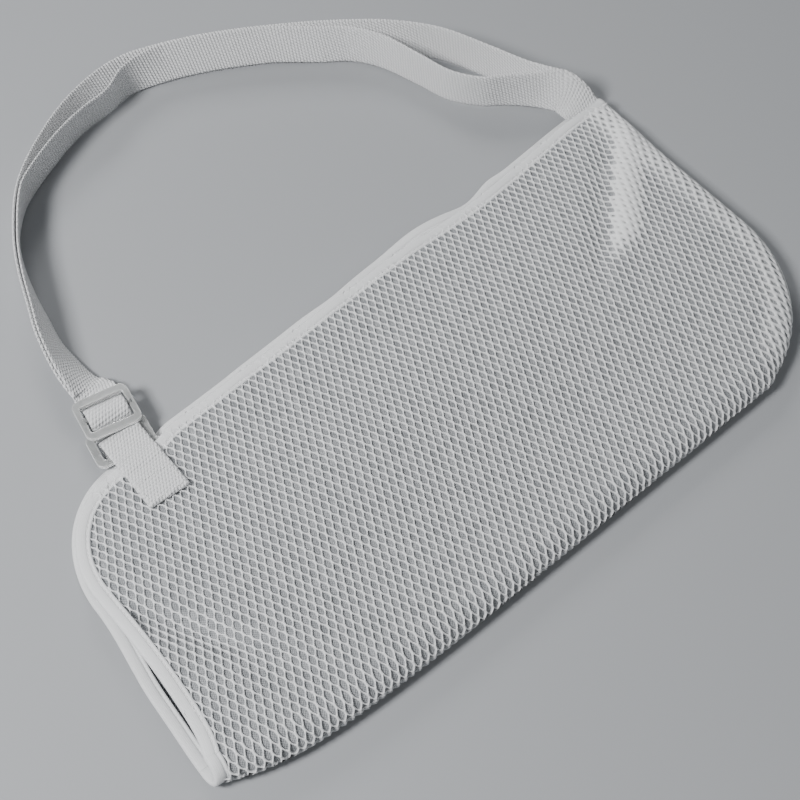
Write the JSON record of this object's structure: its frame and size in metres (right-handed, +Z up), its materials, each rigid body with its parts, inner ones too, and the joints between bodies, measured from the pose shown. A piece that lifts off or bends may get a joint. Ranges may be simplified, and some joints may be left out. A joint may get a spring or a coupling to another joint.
{
  "type": "arm sling",
  "caption": "Arm sling with an open-ended spacer-mesh pouch, bound edges and a doubled webbing neck strap on a ring and slider.",
  "frame": {"origin": "centre of the bounding box in plan, on the surface that the sling lies on", "axes": "+X from the hand end to the elbow end along the bottom fold, +Y from the bottom fold across the open top edge towards the neck strap, +Z up from the surface"},
  "size_m": [0.456, 0.454, 0.0259],
  "materials": {
    "mesh": "knitted white polyester spacer mesh with oval holes, about 3 mm thick",
    "tape": "woven white binding tape",
    "webbing": "ribbed white polypropylene webbing, 25 mm wide",
    "thread": "white polyester sewing thread",
    "plastic": "milky translucent moulded plastic"
  },
  "bodies": {
    "pouch_back": {"back_panel": "mesh", "bottom_fold": "mesh", "fold_binding": "tape", "elbow_fold": "mesh", "elbow_seam": "tape", "back_top_binding": "tape", "back_hand_binding": "tape", "strap_outer_run": "webbing", "strap_inner_run": "webbing", "strap_bartack": "thread"},
    "pouch_front": {"front_panel": "mesh", "front_top_binding": "tape", "front_hand_binding": "tape", "front_hand_thread": "thread", "front_top_thread": "thread", "tab_webbing": "webbing", "tab_box_stitch": "thread"},
    "ring_end": {"ring": "plastic", "strap_ring_turn": "webbing"},
    "slider_end": {"slider": "plastic", "strap_hump": "webbing"}
  },
  "joints": [
    {"name": "mouth_open", "type": "hinge", "parent": "pouch_back", "child": "pouch_front", "pos_m": [0, -0.21952, 0.0075], "axis": [1, 0, 0], "range_deg": [0, 25]},
    {"name": "ring_swing", "type": "hinge", "parent": "pouch_front", "child": "ring_end", "pos_m": [-0.1571, -0.02742, 0.0076], "axis": [0.9903, -0.1392, 0], "range_deg": [0, 40]},
    {"name": "slider_slide", "type": "slide", "parent": "ring_end", "child": "slider_end", "axis": [0.1392, 0.9903, 0], "range_m": [0, 0.01]}
  ]
}
